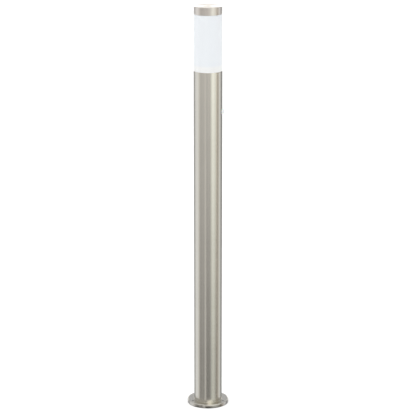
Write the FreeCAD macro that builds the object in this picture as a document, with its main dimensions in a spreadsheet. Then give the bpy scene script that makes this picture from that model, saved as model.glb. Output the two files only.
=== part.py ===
import FreeCAD, Part
import math
import os

import Sketcher

os.makedirs("parts", exist_ok=True)

# Bollard light: a brushed stainless post on a round flange, with an opal head under a flat cap and a motion
# sensor in the side of the post. Millimetres. +Z is up, the origin is the post's axis at the ground, +X is the
# side the motion sensor looks to and -Y is the front.

# ---------------------------------------------------------------------------------------------------------
# Driving dimensions
# ---------------------------------------------------------------------------------------------------------
SIZES = [
    # post
    ("overall_height", 1100.0),
    ("tube_od", 76.0),
    ("tube_wall", 1.0),
    ("tube_foot", 10.0),
    ("tube_top", 929.0),
    # foot
    ("flange_od", 112.0),
    ("flange_low", 1.0),
    ("flange_edge", 2.0),
    ("flange_chamfer", 0.3),
    ("flange_groove", 6.0),
    ("flange_groove_depth", 0.4),
    ("gasket_od", 111.0),
    ("gasket_id", 40.0),
    ("anchor_pcd", 95.0),
    ("anchor_hole", 5.5),
    ("anchor_angle", -30.0),
    ("inlet_bore", 10.0),
    ("inlet_neck", 25.0),
    ("inlet_lip", 32.0),
    ("inlet_recess", 34.0),
    ("inlet_recess_depth", 2.0),
    # lamp carrier
    ("ledge_id", 60.0),
    ("ledge_low", 888.0),
    ("ledge_high", 890.0),
    ("plate_od", 73.0),
    ("plate_high", 891.5),
    ("plate_screw_pcd", 67.0),
    ("nipple_od", 10.0),
    ("nipple_id", 7.0),
    ("nipple_low", 881.0),
    ("nipple_high", 897.0),
    # lampholder
    ("holder_od", 39.0),
    ("holder_top", 942.0),
    ("holder_floor", 904.0),
    ("shell_id", 27.5),
    ("shell_wall", 0.5),
    # terminal bracket and block
    ("leg_face", -14.5),
    ("leg_sheet", 1.5),
    ("leg_half", 7.0),
    ("leg_low", 833.0),
    ("block_depth", 13.0),
    ("block_half", 8.5),
    ("block_low", 835.0),
    ("pole_pitch", 10.0),
    ("clamp_axis", -20.0),
    ("wire_od", 2.0),
    # lamp
    ("lamp_foot", 911.0),
    ("lamp_cap_od", 26.4),
    ("lamp_cap_top", 938.5),
    ("globe_od", 60.0),
    ("globe_mid", 989.0),
    ("globe_low", 976.0),
    ("globe_wall", 1.2),
    # head
    ("collar_rim_od", 75.0),
    ("collar_rim", 1.8),
    ("collar_od", 73.2),
    ("collar_id", 66.4),
    ("collar_low", 905.0),
    ("collar_high", 942.0),
    ("ring_section", 2.0),
    ("ring_level", 918.1),
    ("diffuser_od", 73.8),
    ("diffuser_id", 69.0),
    ("diffuser_neck", 72.4),
    ("diffuser_top", 1097.0),
    ("cap_od", 74.3),
    ("cap_wall", 0.9),
    ("cap_roof", 1.0),
    ("cap_band", 20.6),
    ("cap_edge", 0.5),
    ("cap_plate_low", 1089.0),
    ("stud_spacing", 36.0),
    # motion sensor
    ("eye_level", 819.0),
    ("eye_hole", 22.8),
    ("eye_od", 22.0),
    ("eye_reach", 43.1),
    ("eye_wall", 0.8),
    ("eye_flange", 26.8),
    ("box_front", 31.0),
    ("box_back", 9.0),
    ("box_half", 16.0),
    ("box_rise", 18.0),
    ("box_wall", 1.6),
    ("board_back", 22.0),
    ("knob_od", 6.8),
    ("knob_pitch", 10.0),
    ("knob_line", 18.5),
]

doc = FreeCAD.newDocument("BollardLight")
sheet = doc.addObject("Spreadsheet::Sheet", "Dims")
for row, (name, value) in enumerate(SIZES, start=1):
    sheet.set("A%d" % row, name)
    sheet.set("B%d" % row, str(value))
    sheet.setAlias("B%d" % row, name)
doc.recompute()

PARTS = []


def size(name):
    """A driving dimension as a number."""
    return float(getattr(sheet, name))


def value_of(expression):
    """The number an expression over the sheet gives."""
    return float(sheet.evalExpression(str(expression)))


# ---------------------------------------------------------------------------------------------------------
# Sketch helpers: every point, radius and length is bound to an expression
# ---------------------------------------------------------------------------------------------------------
def new_body(label):
    """A part body with its own node name."""
    body = doc.addObject("PartDesign::Body", label)
    body.Label = label
    body.AllowCompound = True
    PARTS.append(body)
    return body


def new_sketch(body, plane, offset="0"):
    """A sketch on one of the body's origin planes, moved along that plane's normal."""
    sketch = body.newObject("Sketcher::SketchObject", body.Label + "_sketch")
    support = [item for item in body.Origin.OriginFeatures if item.Role == plane][0]
    sketch.AttachmentSupport = (support, [""])
    sketch.MapMode = "FlatFace"
    if offset != "0":
        sketch.AttachmentOffset = FreeCAD.Placement(FreeCAD.Vector(0, 0, value_of(offset)), FreeCAD.Rotation())
        sketch.setExpression("AttachmentOffset.Base.z", offset)
    return sketch


def pin_point(sketch, geometry, end, across, up):
    """Bind one point of the sketch to its two coordinates."""
    for kind, axis, expression in (("DistanceX", -2, across), ("DistanceY", -1, up)):
        number = value_of(expression)
        if abs(number) < 1e-9:
            sketch.addConstraint(Sketcher.Constraint("PointOnObject", geometry, end, axis))
            continue
        index = sketch.addConstraint(Sketcher.Constraint(kind, -1, 1, geometry, end, number))
        sketch.setExpression("Constraints[%d]" % index, str(expression))


def outline(sketch, points, arcs=None):
    """A closed outline through the points. arcs maps a side's number to (centre across, centre up, clockwise)."""
    arcs = arcs or {}
    spots = [FreeCAD.Vector(value_of(across), value_of(up), 0) for across, up in points]
    first = sketch.GeometryCount
    for side, start in enumerate(spots):
        end = spots[(side + 1) % len(spots)]
        if side in arcs:
            sketch.addGeometry(round_side(start, end, arcs[side]), False)
        else:
            sketch.addGeometry(Part.LineSegment(start, end), False)
    count = len(spots)
    flips = [side in arcs and arcs[side][2] for side in range(count)]
    for side in range(count):
        after = (side + 1) % count
        ends = 1 if flips[side] else 2
        begins = 2 if flips[after] else 1
        sketch.addConstraint(Sketcher.Constraint("Coincident", first + side, ends, first + after, begins))
    for side, (across, up) in enumerate(points):
        pin_point(sketch, first + side, 2 if flips[side] else 1, across, up)
    for side, (middle_across, middle_up, _) in arcs.items():
        pin_arc(sketch, first + side, spots[side], middle_across, middle_up)
    return sketch


def round_side(start, end, arc):
    """The arc from start to end about the given centre."""
    middle = FreeCAD.Vector(value_of(arc[0]), value_of(arc[1]), 0)
    circle = Part.Circle(middle, FreeCAD.Vector(0, 0, 1), (start - middle).Length)
    first = math.atan2(start.y - middle.y, start.x - middle.x)
    last = math.atan2(end.y - middle.y, end.x - middle.x)
    if arc[2]:
        return Part.ArcOfCircle(circle, last, first)
    return Part.ArcOfCircle(circle, first, last)


def pin_arc(sketch, geometry, start, middle_across, middle_up):
    """Fix the arc whose two ends are already fixed, through its radius."""
    middle = FreeCAD.Vector(value_of(middle_across), value_of(middle_up), 0)
    sketch.addConstraint(Sketcher.Constraint("Radius", geometry, (start - middle).Length))


def circle(sketch, across, up, radius):
    """A circle bound to its centre and radius."""
    centre = FreeCAD.Vector(value_of(across), value_of(up), 0)
    index = sketch.addGeometry(Part.Circle(centre, FreeCAD.Vector(0, 0, 1), value_of(radius)), False)
    pin_point(sketch, index, 3, across, up)
    bound = sketch.addConstraint(Sketcher.Constraint("Radius", index, value_of(radius)))
    sketch.setExpression("Constraints[%d]" % bound, str(radius))
    return sketch


def box_outline(sketch, low_across, high_across, low_up, high_up):
    """A rectangle from its four edges."""
    return outline(sketch, [(low_across, low_up), (high_across, low_up),
                            (high_across, high_up), (low_across, high_up)])


def hexagon(sketch, across, up, width):
    """A hexagon of the given width across its flats."""
    corner = "(%s)/sqrt(3)" % width
    points = []
    for step in range(6):
        angle = 60 * step
        points.append(("(%s)+%s*cos(%d)" % (across, corner, angle), "(%s)+%s*sin(%d)" % (up, corner, angle)))
    return outline(sketch, points)


def extrude(body, sketch, length, kind="PartDesign::Pad", backwards=False):
    """Pad or cut a sketch by a bound length."""
    feature = body.newObject(kind, body.Label + "_" + kind.split("::")[1].lower())
    feature.Profile = sketch
    feature.Type = "Length"
    feature.Length = value_of(length)
    feature.setExpression("Length", str(length))
    feature.Reversed = backwards
    doc.recompute()
    return feature


def cut(body, sketch, length, backwards=False):
    """Cut a sketch out of the body, refusing a cut that removes nothing."""
    before = body.Shape.Volume
    feature = extrude(body, sketch, length, "PartDesign::Pocket", backwards)
    if body.Shape.Volume > before - 1e-6:
        raise RuntimeError(body.Label + ": the cut removes nothing")
    return feature


def spin(body, points, arcs=None):
    """Turn a half section given as (radius, height) points about the post's axis."""
    sketch = new_sketch(body, "XZ_Plane")
    outline(sketch, points, arcs)
    feature = body.newObject("PartDesign::Revolution", body.Label + "_turned")
    feature.Profile = sketch
    feature.ReferenceAxis = (sketch, ["V_Axis"])
    feature.Angle = 360
    doc.recompute()
    return feature


def spin_sideways(body, points, arcs=None):
    """Turn a half section given as (distance along X, distance from the eye's axis) about the eye's axis."""
    sketch = new_sketch(body, "XZ_Plane")
    lifted = [(along, "Dims.eye_level+(%s)" % away) for along, away in points]
    lifted_arcs = {}
    for side, (along, away, clockwise) in (arcs or {}).items():
        lifted_arcs[side] = (along, "Dims.eye_level+(%s)" % away, clockwise)
    outline(sketch, lifted, lifted_arcs)
    axis = sketch.addGeometry(Part.LineSegment(FreeCAD.Vector(0, size("eye_level"), 0),
                                               FreeCAD.Vector(10, size("eye_level"), 0)), True)
    pin_point(sketch, axis, 1, "0", "Dims.eye_level")
    pin_point(sketch, axis, 2, "10", "Dims.eye_level")
    feature = body.newObject("PartDesign::Revolution", body.Label + "_turned")
    feature.Profile = sketch
    feature.ReferenceAxis = (sketch, ["Axis0"])
    feature.Angle = 360
    doc.recompute()
    return feature


def repeat_round(body, features, count):
    """Repeat features about the post's axis."""
    pattern = body.newObject("PartDesign::PolarPattern", body.Label + "_pattern")
    pattern.Originals = features
    axis = [item for item in body.Origin.OriginFeatures if item.Role == "Z_Axis"][0]
    pattern.Axis = (axis, [""])
    pattern.Angle = 360
    pattern.Occurrences = count
    body.Tip = pattern
    doc.recompute()
    return pattern


def repeat_line(body, features, role, spacing, count):
    """Repeat features along one of the body's axes."""
    pattern = body.newObject("PartDesign::LinearPattern", body.Label + "_row")
    pattern.Originals = features
    axis = [item for item in body.Origin.OriginFeatures if item.Role == role][0]
    pattern.Direction = (axis, [""])
    pattern.Mode = "Spacing"
    pattern.Offset = value_of(spacing)
    pattern.setExpression("Offset", spacing)
    pattern.Occurrences = count
    body.Tip = pattern
    doc.recompute()
    return pattern


# ---------------------------------------------------------------------------------------------------------
# Foot: gasket, flange with a turned line round its rim, and the rubber cable inlet
# ---------------------------------------------------------------------------------------------------------
ANCHOR_ACROSS = "Dims.anchor_pcd/2*cos(Dims.anchor_angle)"
ANCHOR_UP = "Dims.anchor_pcd/2*sin(Dims.anchor_angle)"

gasket = new_body("base_gasket")
spin(gasket, [("Dims.gasket_id/2", "0"), ("Dims.gasket_od/2", "0"),
              ("Dims.gasket_od/2", "Dims.flange_low"), ("Dims.gasket_id/2", "Dims.flange_low")])
gasket_hole = cut(gasket, circle(new_sketch(gasket, "XY_Plane"), ANCHOR_ACROSS, ANCHOR_UP,
                                 "Dims.anchor_hole/2+0.5"), "Dims.flange_low", True)
repeat_round(gasket, [gasket_hole], 3)

flange = new_body("base_flange")
spin(flange, [("Dims.inlet_neck/2", "Dims.flange_low+Dims.inlet_recess_depth"),
              ("Dims.inlet_recess/2", "Dims.flange_low+Dims.inlet_recess_depth"),
              ("Dims.inlet_recess/2", "Dims.flange_low"),
              ("Dims.flange_od/2-Dims.flange_chamfer", "Dims.flange_low"),
              ("Dims.flange_od/2", "Dims.flange_low+Dims.flange_chamfer"),
              ("Dims.flange_od/2", "Dims.flange_groove-Dims.flange_groove_depth"),
              ("Dims.flange_od/2-Dims.flange_groove_depth", "Dims.flange_groove"),
              ("Dims.flange_od/2", "Dims.flange_groove+Dims.flange_groove_depth"),
              ("Dims.flange_od/2", "Dims.tube_foot-Dims.flange_edge"),
              ("Dims.flange_od/2-Dims.flange_edge", "Dims.tube_foot"),
              ("Dims.inlet_neck/2", "Dims.tube_foot")],
     {8: ("Dims.flange_od/2-Dims.flange_edge", "Dims.tube_foot-Dims.flange_edge", False)})
flange_hole = cut(flange, circle(new_sketch(flange, "XY_Plane"), ANCHOR_ACROSS, ANCHOR_UP,
                                 "Dims.anchor_hole/2"), "Dims.tube_foot", True)
repeat_round(flange, [flange_hole], 3)

inlet = new_body("cable_grommet")
spin(inlet, [("Dims.inlet_bore/2", "Dims.flange_low+0.2"),
             ("Dims.inlet_lip/2", "Dims.flange_low+0.2"),
             ("Dims.inlet_lip/2", "Dims.flange_low+Dims.inlet_recess_depth"),
             ("Dims.inlet_neck/2", "Dims.flange_low+Dims.inlet_recess_depth"),
             ("Dims.inlet_neck/2", "Dims.tube_foot"),
             ("Dims.inlet_lip/2", "Dims.tube_foot"),
             ("Dims.inlet_lip/2-1", "Dims.tube_foot+2"),
             ("Dims.inlet_bore/2", "Dims.tube_foot+2")])

# ---------------------------------------------------------------------------------------------------------
# Post tube, with the round hole for the sensor's eye
# ---------------------------------------------------------------------------------------------------------
tube = new_body("pole_tube")
spin(tube, [("Dims.tube_od/2-Dims.tube_wall", "Dims.tube_foot"),
            ("Dims.tube_od/2", "Dims.tube_foot"),
            ("Dims.tube_od/2", "Dims.tube_top-0.2"),
            ("Dims.tube_od/2-0.2", "Dims.tube_top"),
            ("Dims.tube_od/2-Dims.tube_wall", "Dims.tube_top")])
cut(tube, circle(new_sketch(tube, "YZ_Plane"), "0", "Dims.eye_level", "Dims.eye_hole/2"),
    "Dims.tube_od/2+5", True)

# ---------------------------------------------------------------------------------------------------------
# Carrier in the mouth of the tube: welded ledge, lamp plate, terminal bracket and their screws
# ---------------------------------------------------------------------------------------------------------
SCREW_UP = "Dims.plate_screw_pcd/2"

ledge = new_body("support_ledge")
spin(ledge, [("Dims.ledge_id/2", "Dims.ledge_low"),
             ("Dims.tube_od/2-Dims.tube_wall", "Dims.ledge_low"),
             ("Dims.tube_od/2-Dims.tube_wall", "Dims.ledge_high"),
             ("Dims.ledge_id/2", "Dims.ledge_high")])
ledge_hole = cut(ledge, circle(new_sketch(ledge, "XY_Plane", "Dims.ledge_low-1"), "0", SCREW_UP, "1.65"),
                 "5", True)
repeat_round(ledge, [ledge_hole], 3)

plate = new_body("lamp_plate")
spin(plate, [("Dims.nipple_od/2+0.1", "Dims.ledge_high"),
             ("Dims.plate_od/2", "Dims.ledge_high"),
             ("Dims.plate_od/2", "Dims.plate_high"),
             ("Dims.nipple_od/2+0.1", "Dims.plate_high")])
plate_hole = cut(plate, circle(new_sketch(plate, "XY_Plane", "Dims.ledge_high-1"), "0", SCREW_UP, "2.15"),
                 "5", True)
repeat_round(plate, [plate_hole], 3)
cut(plate, circle(new_sketch(plate, "XY_Plane", "Dims.ledge_high-1"), "-6", "-24", "2.15"), "5", True)

plate_screws = new_body("plate_screws")
shank = extrude(plate_screws, circle(new_sketch(plate_screws, "XY_Plane", "Dims.ledge_low-4"),
                                     "0", SCREW_UP, "1.6"), "Dims.plate_high-Dims.ledge_low+4")
head = extrude(plate_screws, circle(new_sketch(plate_screws, "XY_Plane", "Dims.plate_high"),
                                    "0", SCREW_UP, "3.2"), "2.2")
drive = cut(plate_screws, hexagon(new_sketch(plate_screws, "XY_Plane", "Dims.plate_high+1"),
                                  "0", SCREW_UP, "2.5"), "2", True)
repeat_round(plate_screws, [shank, head, drive], 3)

bracket = new_body("terminal_bracket")
extrude(bracket, box_outline(new_sketch(bracket, "XY_Plane", "Dims.leg_low"),
                             "Dims.leg_face", "Dims.leg_face+Dims.leg_sheet", "-Dims.leg_half", "Dims.leg_half"),
        "Dims.ledge_high-Dims.leg_low")
extrude(bracket, box_outline(new_sketch(bracket, "XY_Plane", "Dims.ledge_high-Dims.leg_sheet"),
                             "Dims.leg_face-12", "Dims.leg_face+Dims.leg_sheet",
                             "-Dims.leg_half", "Dims.leg_half"),
        "Dims.leg_sheet")
for level in ("Dims.block_low+Dims.pole_pitch", "Dims.block_low+3*Dims.pole_pitch"):
    cut(bracket, circle(new_sketch(bracket, "YZ_Plane", "Dims.leg_face-1"), "0", level, "1.3"), "4", True)

# ---------------------------------------------------------------------------------------------------------
# Terminal block: four poles, each a brass clamp with two screws
# ---------------------------------------------------------------------------------------------------------
block = new_body("terminal_block")
extrude(block, box_outline(new_sketch(block, "XY_Plane", "Dims.block_low"),
                           "Dims.leg_face-Dims.block_depth", "Dims.leg_face",
                           "-Dims.block_half", "Dims.block_half"),
        "4*Dims.pole_pitch")
POLE = "Dims.block_low+Dims.pole_pitch/2"
# XZ sketches face -Y, so their depth runs the other way from the Y axis
entry = cut(block, circle(new_sketch(block, "XZ_Plane", "-Dims.block_half-1"),
                          "Dims.clamp_axis", POLE, "3"), "2*Dims.block_half+2", True)
well_low = cut(block, circle(new_sketch(block, "YZ_Plane", "Dims.leg_face-Dims.block_depth-1"),
                             "-5", POLE, "2.1"), "6", True)
well_high = cut(block, circle(new_sketch(block, "YZ_Plane", "Dims.leg_face-Dims.block_depth-1"),
                              "5", POLE, "2.1"), "6", True)
groove = cut(block, box_outline(new_sketch(block, "XY_Plane", "Dims.block_low+Dims.pole_pitch-0.6"),
                                "Dims.leg_face-Dims.block_depth-1", "Dims.leg_face-Dims.block_depth+2",
                                "-Dims.block_half", "Dims.block_half"), "1.2", True)
repeat_line(block, [entry, well_low, well_high], "Z_Axis", "Dims.pole_pitch", 4)
grooves = block.newObject("PartDesign::LinearPattern", "terminal_block_grooves")
grooves.Originals = [groove]
grooves.Direction = ([item for item in block.Origin.OriginFeatures if item.Role == "Z_Axis"][0], [""])
grooves.Mode = "Spacing"
grooves.setExpression("Offset", "Dims.pole_pitch")
grooves.Occurrences = 3
block.Tip = grooves
for level in ("Dims.block_low+Dims.pole_pitch", "Dims.block_low+3*Dims.pole_pitch"):
    cut(block, circle(new_sketch(block, "YZ_Plane", "Dims.leg_face-Dims.block_depth-1"), "0", level, "1.6"),
        "Dims.block_depth+2", True)

clamps = new_body("terminal_clamps")
barrel = extrude(clamps, circle(new_sketch(clamps, "XZ_Plane", "-Dims.block_half+0.5"),
                                "Dims.clamp_axis", POLE, "3"), "2*Dims.block_half-1")
way = cut(clamps, circle(new_sketch(clamps, "XZ_Plane", "-Dims.block_half"),
                         "Dims.clamp_axis", POLE, "1.9"), "2*Dims.block_half+1", True)
tap_low = cut(clamps, circle(new_sketch(clamps, "YZ_Plane", "Dims.clamp_axis"), "-5", POLE, "1.45"), "4")
tap_high = cut(clamps, circle(new_sketch(clamps, "YZ_Plane", "Dims.clamp_axis"), "5", POLE, "1.45"), "4")
repeat_line(clamps, [barrel, way, tap_low, tap_high], "Z_Axis", "Dims.pole_pitch", 4)

clamp_screws = new_body("terminal_screws")
screw_features = []
for side in ("-5", "5"):
    screw_features.append(extrude(clamp_screws, circle(
        new_sketch(clamp_screws, "YZ_Plane", "Dims.clamp_axis-6.5"), side, POLE, "2"), "3.4"))
    screw_features.append(extrude(clamp_screws, circle(
        new_sketch(clamp_screws, "YZ_Plane", "Dims.clamp_axis-6.5"), side, POLE, "1.4"), "5.2"))
    screw_features.append(cut(clamp_screws, box_outline(
        new_sketch(clamp_screws, "YZ_Plane", "Dims.clamp_axis-7"),
        side + "-3", side + "+3", POLE + "-0.35", POLE + "+0.35"), "1.4", True))
repeat_line(clamp_screws, screw_features, "Z_Axis", "Dims.pole_pitch", 4)

block_screws = new_body("block_screws")
for level in ("Dims.block_low+Dims.pole_pitch", "Dims.block_low+3*Dims.pole_pitch"):
    extrude(block_screws, circle(new_sketch(block_screws, "YZ_Plane", "Dims.leg_face-Dims.block_depth"),
                                 "0", level, "1.25"), "Dims.block_depth+Dims.leg_sheet+1")
    extrude(block_screws, circle(new_sketch(block_screws, "YZ_Plane", "Dims.leg_face-Dims.block_depth"),
                                 "0", level, "2.4"), "1.2", backwards=True)

earth_screw = new_body("earth_screw")
extrude(earth_screw, circle(new_sketch(earth_screw, "XY_Plane", "Dims.ledge_high-4.5"), "-6", "-24", "2"),
        "Dims.plate_high-Dims.ledge_high+4.5")
extrude(earth_screw, circle(new_sketch(earth_screw, "XY_Plane", "Dims.plate_high"), "-6", "-24", "3.6"), "2.2")
cut(earth_screw, box_outline(new_sketch(earth_screw, "XY_Plane", "Dims.plate_high+1.2"),
                             "-10", "-2", "-24.4", "-23.6"), "2", True)

earth_lug = new_body("earth_lug")
lug_sketch = new_sketch(earth_lug, "XY_Plane", "Dims.ledge_high-0.8")
circle(lug_sketch, "-6", "-24", "4")
circle(lug_sketch, "-6", "-24", "2.1")
extrude(earth_lug, lug_sketch, "0.8")
extrude(earth_lug, box_outline(new_sketch(earth_lug, "XY_Plane", "Dims.ledge_high-0.8"),
                               "-13.5", "-9.6", "-25.2", "-22.8"), "0.8")

earth_nut = new_body("earth_nut")
extrude(earth_nut, hexagon(new_sketch(earth_nut, "XY_Plane", "Dims.ledge_high-4"), "-6", "-24", "7"), "3.2")
cut(earth_nut, circle(new_sketch(earth_nut, "XY_Plane", "Dims.ledge_high-4.5"), "-6", "-24", "2.05"), "5", True)

# ---------------------------------------------------------------------------------------------------------
# Lampholder on its threaded nipple
# ---------------------------------------------------------------------------------------------------------
nipple = new_body("lamp_nipple")
spin(nipple, [("Dims.nipple_id/2", "Dims.nipple_low"), ("Dims.nipple_od/2", "Dims.nipple_low"),
              ("Dims.nipple_od/2", "Dims.nipple_high"), ("Dims.nipple_id/2", "Dims.nipple_high")])

nipple_nut = new_body("nipple_nut")
extrude(nipple_nut, hexagon(new_sketch(nipple_nut, "XY_Plane", "Dims.ledge_high-4"), "0", "0", "14"), "4")
cut(nipple_nut, circle(new_sketch(nipple_nut, "XY_Plane", "Dims.ledge_high-5"), "0", "0",
                       "Dims.nipple_od/2+0.05"), "6", True)

holder = new_body("lampholder")
spin(holder, [("Dims.nipple_od/2+0.05", "Dims.plate_high"), ("16", "Dims.plate_high"),
              ("16", "Dims.plate_high+6.5"), ("Dims.holder_od/2", "Dims.plate_high+11.5"),
              ("Dims.holder_od/2", "Dims.holder_top-1"), ("Dims.holder_od/2-1", "Dims.holder_top"),
              ("Dims.shell_id/2+Dims.shell_wall+0.05", "Dims.holder_top"),
              ("Dims.shell_id/2+Dims.shell_wall+0.05", "Dims.holder_floor"),
              ("2", "Dims.holder_floor"), ("2", "Dims.nipple_high+4"),
              ("9", "Dims.nipple_high+4"), ("9", "Dims.nipple_high"),
              ("Dims.nipple_od/2+0.05", "Dims.nipple_high")])

shell = new_body("lampholder_shell")
spin(shell, [("9", "Dims.holder_floor"), ("Dims.shell_id/2+Dims.shell_wall", "Dims.holder_floor"),
             ("Dims.shell_id/2+Dims.shell_wall", "Dims.holder_top-4"), ("Dims.shell_id/2", "Dims.holder_top-4"),
             ("Dims.shell_id/2", "Dims.holder_floor+Dims.shell_wall"),
             ("9", "Dims.holder_floor+Dims.shell_wall")])

contact = new_body("centre_contact")
extrude(contact, outline(new_sketch(contact, "XZ_Plane", "-2.5"), [
    ("-7", "Dims.holder_floor"), ("6", "Dims.holder_floor"), ("6", "Dims.holder_floor+0.5"),
    ("-5.6", "Dims.holder_floor+0.5"), ("-1.4", "Dims.lamp_foot-0.7"), ("3.6", "Dims.lamp_foot-0.7"),
    ("3.6", "Dims.lamp_foot-0.2"), ("-1.7", "Dims.lamp_foot-0.2")]), "5")
extrude(contact, circle(new_sketch(contact, "XY_Plane", "Dims.nipple_high+2.5"), "0", "0", "1.95"),
        "Dims.holder_floor-Dims.nipple_high-2.5")

# ---------------------------------------------------------------------------------------------------------
# LED lamp with an Edison screw cap
# ---------------------------------------------------------------------------------------------------------
lamp_tip = new_body("lamp_contact")
spin(lamp_tip, [("0", "Dims.lamp_foot"), ("4", "Dims.lamp_foot"), ("4.6", "Dims.lamp_foot+0.6"),
                ("4.6", "Dims.lamp_foot+2"), ("0", "Dims.lamp_foot+2")])

lamp_insulator = new_body("lamp_insulator")
spin(lamp_insulator, [("0", "Dims.lamp_foot+2"), ("5.5", "Dims.lamp_foot+2"), ("11", "Dims.lamp_foot+6.5"),
                      ("0", "Dims.lamp_foot+6.5")])

lamp_cap = new_body("lamp_cap")
spin(lamp_cap, [("9.5", "Dims.lamp_foot+6.5"), ("11.2", "Dims.lamp_foot+6.5"),
                ("Dims.lamp_cap_od/2", "Dims.lamp_foot+8.6"), ("Dims.lamp_cap_od/2", "Dims.lamp_cap_top"),
                ("Dims.lamp_cap_od/2-0.4", "Dims.lamp_cap_top"), ("Dims.lamp_cap_od/2-0.4", "Dims.lamp_foot+8.8"),
                ("11", "Dims.lamp_foot+6.9"), ("9.5", "Dims.lamp_foot+6.9")])

GLOBE_FOOT = "sqrt(pow(Dims.globe_od/2;2)-pow(Dims.globe_mid-Dims.globe_low;2))"
GLOBE_FOOT_IN = "sqrt(pow(Dims.globe_od/2-Dims.globe_wall;2)-pow(Dims.globe_mid-Dims.globe_low;2))"

lamp_body = new_body("lamp_housing")
spin(lamp_body, [("11.2", "Dims.lamp_foot+10"), ("Dims.lamp_cap_od/2-0.45", "Dims.lamp_foot+10"),
                 ("Dims.lamp_cap_od/2-0.45", "Dims.lamp_cap_top"), ("13.4", "Dims.lamp_cap_top"),
                 ("13.4", "Dims.lamp_cap_top+5"), ("15.8", "Dims.lamp_cap_top+8.5"),
                 ("21.5", "Dims.lamp_cap_top+23"),
                 (GLOBE_FOOT, "Dims.globe_low"), (GLOBE_FOOT_IN, "Dims.globe_low"),
                 ("20.2", "Dims.lamp_cap_top+23.4"), ("14.4", "Dims.lamp_cap_top+9"),
                 ("12", "Dims.lamp_cap_top+5.6"), ("11.2", "Dims.lamp_cap_top")])

globe = new_body("lamp_globe")
spin(globe, [(GLOBE_FOOT_IN, "Dims.globe_low"), (GLOBE_FOOT, "Dims.globe_low"),
             ("0", "Dims.globe_mid+Dims.globe_od/2"),
             ("0", "Dims.globe_mid+Dims.globe_od/2-Dims.globe_wall")],
     {1: ("0", "Dims.globe_mid", False), 3: ("0", "Dims.globe_mid", True)})

led_plate = new_body("led_plate")
spin(led_plate, [("0", "Dims.globe_low-2.6"), ("24", "Dims.globe_low-2.6"), ("24", "Dims.globe_low-1.1"),
                 ("0", "Dims.globe_low-1.1")])

led_chips = new_body("led_chips")
chip = extrude(led_chips, box_outline(new_sketch(led_chips, "XY_Plane", "Dims.globe_low-1.1"),
                                      "14.5", "17.5", "-1.4", "1.4"), "0.7")
repeat_round(led_chips, [chip], 10)

driver = new_body("led_driver")
extrude(driver, box_outline(new_sketch(driver, "XY_Plane", "Dims.lamp_foot+11"), "-9", "9", "-0.8", "0.8"), "36")
extrude(driver, box_outline(new_sketch(driver, "XY_Plane", "Dims.lamp_foot+14"), "-6", "2", "0.8", "6.8"), "9")
extrude(driver, circle(new_sketch(driver, "XY_Plane", "Dims.lamp_foot+26"), "-3", "-4.9", "4.4"), "16")

# ---------------------------------------------------------------------------------------------------------
# Head: collar, seal, opal diffuser and the cap with its clamping plate
# ---------------------------------------------------------------------------------------------------------
collar = new_body("head_collar")
spin(collar, [("Dims.collar_id/2", "Dims.collar_low"), ("Dims.collar_od/2-1", "Dims.collar_low"),
              ("Dims.collar_od/2", "Dims.collar_low+2"), ("Dims.collar_od/2", "Dims.ring_level-1.1"),
              ("Dims.collar_od/2-1.7", "Dims.ring_level-1.1"), ("Dims.collar_od/2-1.7", "Dims.ring_level+1.1"),
              ("Dims.collar_od/2", "Dims.ring_level+1.1"), ("Dims.collar_od/2", "Dims.tube_top"),
              ("Dims.collar_rim_od/2", "Dims.tube_top"),
              ("Dims.collar_rim_od/2", "Dims.tube_top+Dims.collar_rim"),
              ("Dims.diffuser_id/2-0.05", "Dims.tube_top+Dims.collar_rim"),
              ("Dims.diffuser_id/2-0.05", "Dims.collar_high"), ("Dims.collar_id/2", "Dims.collar_high")])

seal = new_body("head_seal")
seal_sketch = new_sketch(seal, "XZ_Plane")
circle(seal_sketch, "Dims.tube_od/2-Dims.tube_wall-0.05-Dims.ring_section/2", "Dims.ring_level",
       "Dims.ring_section/2")
seal_ring = seal.newObject("PartDesign::Revolution", "head_seal_turned")
seal_ring.Profile = seal_sketch
seal_ring.ReferenceAxis = (seal_sketch, ["V_Axis"])
seal_ring.Angle = 360
doc.recompute()

diffuser = new_body("diffuser")
spin(diffuser, [("Dims.diffuser_id/2", "Dims.tube_top+Dims.collar_rim"),
                ("Dims.diffuser_od/2", "Dims.tube_top+Dims.collar_rim"),
                ("Dims.diffuser_od/2", "Dims.overall_height-Dims.cap_band-0.2"),
                ("Dims.diffuser_neck/2", "Dims.overall_height-Dims.cap_band-0.2"),
                ("Dims.diffuser_neck/2", "Dims.diffuser_top"), ("Dims.diffuser_id/2", "Dims.diffuser_top")])

cap = new_body("top_cap")
spin(cap, [("0", "Dims.overall_height-Dims.cap_roof"),
           ("Dims.cap_od/2-Dims.cap_wall", "Dims.overall_height-Dims.cap_roof"),
           ("Dims.cap_od/2-Dims.cap_wall", "Dims.overall_height-Dims.cap_band"),
           ("Dims.cap_od/2", "Dims.overall_height-Dims.cap_band"),
           ("Dims.cap_od/2", "Dims.overall_height-Dims.cap_edge"),
           ("Dims.cap_od/2-Dims.cap_edge", "Dims.overall_height"), ("0", "Dims.overall_height")],
     {4: ("Dims.cap_od/2-Dims.cap_edge", "Dims.overall_height-Dims.cap_edge", False)})

cap_seal = new_body("cap_seal")
spin(cap_seal, [("Dims.diffuser_id/2", "Dims.diffuser_top"), ("Dims.diffuser_neck/2", "Dims.diffuser_top"),
                ("Dims.diffuser_neck/2", "Dims.overall_height-Dims.cap_roof"),
                ("Dims.diffuser_id/2", "Dims.overall_height-Dims.cap_roof")])

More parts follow.
